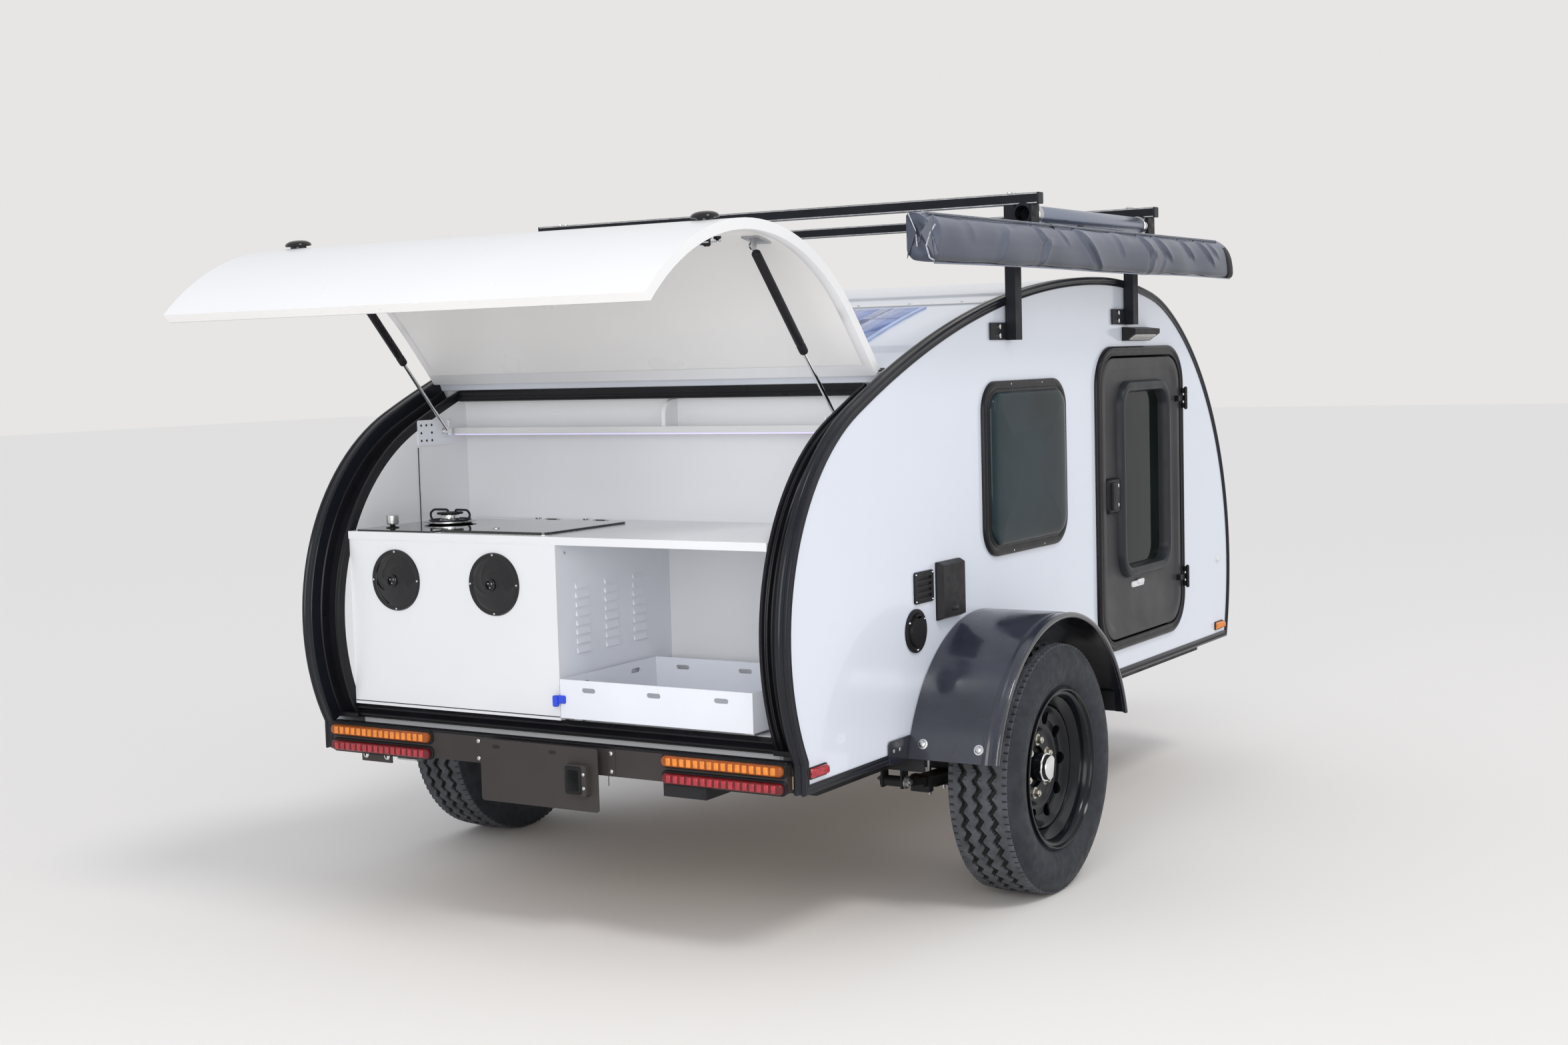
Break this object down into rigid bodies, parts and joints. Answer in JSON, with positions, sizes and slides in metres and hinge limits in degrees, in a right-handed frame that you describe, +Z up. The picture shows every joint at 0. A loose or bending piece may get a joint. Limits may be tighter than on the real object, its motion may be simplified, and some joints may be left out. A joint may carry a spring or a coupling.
{
  "type": "teardrop camping trailer",
  "caption": "Small teardrop camping trailer on one axle with its rear galley hatch raised, roof rack, bagged awning and jockey wheel.",
  "frame": {"origin": "middle of the whole part's box, on the ground under the wheels", "axes": "+X forward to the coupler, +Y to the left side, +Z up"},
  "size_m": [4.2694, 1.981, 1.836],
  "materials": {
    "white_body": "gloss",
    "white_metal": "satin",
    "warm_white": "satin",
    "black_rubber": "satin",
    "black_metal": "gloss",
    "steel_black": "satin",
    "steel": "satin",
    "galvanised": "dull",
    "aluminium": "satin",
    "tyre": "matt",
    "matte_black": "matt",
    "charcoal": "satin",
    "brown_black": "matt",
    "smoked": "gloss",
    "dark_glass": "gloss",
    "wood_panel": "satin",
    "lamp_red": "gloss",
    "bag_fabric": "gloss",
    "solar": "gloss"
  },
  "bodies": {
    "trailer": {"side_wall_right": "white_body", "side_wall_left": "white_body", "edge_trims": "black_rubber", "roof_skin": "white_body", "floor": "wood_panel", "bulkhead": "wood_panel", "galley_seals": "black_rubber", "galley_liners": "wood_panel", "galley_deck": "wood_panel", "counter": "wood_panel", "cabinet_front": "wood_panel", "louvre_panel": "wood_panel", "round_vents": "black_metal", "shelf": "wood_panel", "tray_slides": "steel", "hob": "dark_glass", "sink_bowl": "steel", "door_frames": "black_metal", "side_windows": "smoked", "hatch_hinge": "steel_black", "strut_wall_brackets": "white_metal", "axle_beam": "steel_black", "leaf_springs": "steel_black", "fenders": "black_metal", "chassis_frame": "steel_black", "drawbar": "steel_black", "coupler": "galvanised", "jack_sleeve": "galvanised", "rear_panel": "brown_black", "rear_lamps": "lamp_red", "plate_holder": "brown_black", "wall_fittings": "matte_black", "porch_lights": "matte_black", "marker_lamps": "lamp_red", "rack_posts": "steel_black", "crossbars": "steel_black", "rack_tube": "aluminium", "awning_bag": "bag_fabric", "solar_panel": "solar", "safety_chain": "galvanised"},
    "hatch_panel": {"hatch": "warm_white", "hatch_latches": "black_metal", "strut_hatch_lugs": "steel_black"},
    "right_strut_tube": {"strut_tube_right": "steel_black"},
    "left_strut_tube": {"strut_tube_left": "steel_black"},
    "right_strut_rod": {"strut_rod_right": "steel"},
    "left_strut_rod": {"strut_rod_left": "steel"},
    "right_door": {"door_right": "charcoal", "door_glass_right": "smoked"},
    "left_door": {"door_left": "charcoal", "door_glass_left": "smoked"},
    "right_wheel": {"tyre_right": "tyre", "rim_right": "black_metal"},
    "left_wheel": {"tyre_left": "tyre", "rim_left": "black_metal"},
    "galley_tray": {"tray": "white_metal"},
    "lid": {"sink_lid": "dark_glass"},
    "jack_inner": {"jack_tube": "galvanised"},
    "caster_fork": {"jockey_fork": "galvanised"},
    "caster_wheel": {"jockey_wheel": "tyre"}
  },
  "joints": [
    {"name": "hatch_hinge", "type": "hinge", "parent": "trailer", "child": "hatch_panel", "pos_m": [-1.14833, 0, 1.37658], "axis": [0, 1, 0], "range_deg": [-72, 0]},
    {"name": "right_strut_eye", "type": "hinge", "parent": "hatch_panel", "child": "right_strut_tube", "pos_m": [-1.60382, -0.628, 1.6693], "axis": [0, 1, 0], "range_deg": [-6.5, 1]},
    {"name": "right_strut_slide", "type": "slide", "parent": "right_strut_tube", "child": "right_strut_rod", "axis": [0.6695, 0, -0.7428], "range_m": [-0.1785, 0.002]},
    {"name": "left_strut_eye", "type": "hinge", "parent": "hatch_panel", "child": "left_strut_tube", "pos_m": [-1.60382, 0.628, 1.6693], "axis": [0, 1, 0], "range_deg": [-6.5, 1]},
    {"name": "left_strut_slide", "type": "slide", "parent": "left_strut_tube", "child": "left_strut_rod", "axis": [0.6695, 0, -0.7428], "range_m": [-0.1785, 0.002]},
    {"name": "right_door_hinge", "type": "hinge", "parent": "trailer", "child": "right_door", "pos_m": [0.78267, -0.766, 0.959], "axis": [0, 0, 1], "range_deg": [0, 110]},
    {"name": "left_door_hinge", "type": "hinge", "parent": "trailer", "child": "left_door", "pos_m": [0.78267, 0.766, 0.959], "axis": [0, 0, -1], "range_deg": [0, 110]},
    {"name": "right_wheel_spin", "type": "hinge", "parent": "trailer", "child": "right_wheel", "pos_m": [-0.70733, -0.886, 0.328], "axis": [0, 1, 0], "continuous": true},
    {"name": "left_wheel_spin", "type": "hinge", "parent": "trailer", "child": "left_wheel", "pos_m": [-0.70733, 0.886, 0.328], "axis": [0, 1, 0], "continuous": true},
    {"name": "tray_slide", "type": "slide", "parent": "trailer", "child": "galley_tray", "axis": [-1, 0, 0], "range_m": [0, 0.38]},
    {"name": "sink_lid_hinge", "type": "hinge", "parent": "trailer", "child": "lid", "pos_m": [-1.23333, 0.178, 0.9975], "axis": [0, 1, 0], "range_deg": [0, 85]},
    {"name": "jack_slide", "type": "slide", "parent": "trailer", "child": "jack_inner", "axis": [0, 0, 1], "range_m": [0, 0.075]},
    {"name": "caster_swivel", "type": "hinge", "parent": "jack_inner", "child": "caster_fork", "pos_m": [1.75267, 0.24, 0.243], "axis": [0, 0, 1], "continuous": true},
    {"name": "caster_spin", "type": "hinge", "parent": "caster_fork", "child": "caster_wheel", "pos_m": [1.71067, 0.24, 0.1], "axis": [0, 1, 0], "continuous": true}
  ],
  "couplings": [
    {"joint": "right_strut_eye", "follows": "hatch_hinge", "ratio": 0.07633},
    {"joint": "right_strut_slide", "follows": "hatch_hinge", "m_per_rad": 0.14049},
    {"joint": "left_strut_eye", "follows": "hatch_hinge", "ratio": 0.07633},
    {"joint": "left_strut_slide", "follows": "hatch_hinge", "m_per_rad": 0.14049}
  ]
}
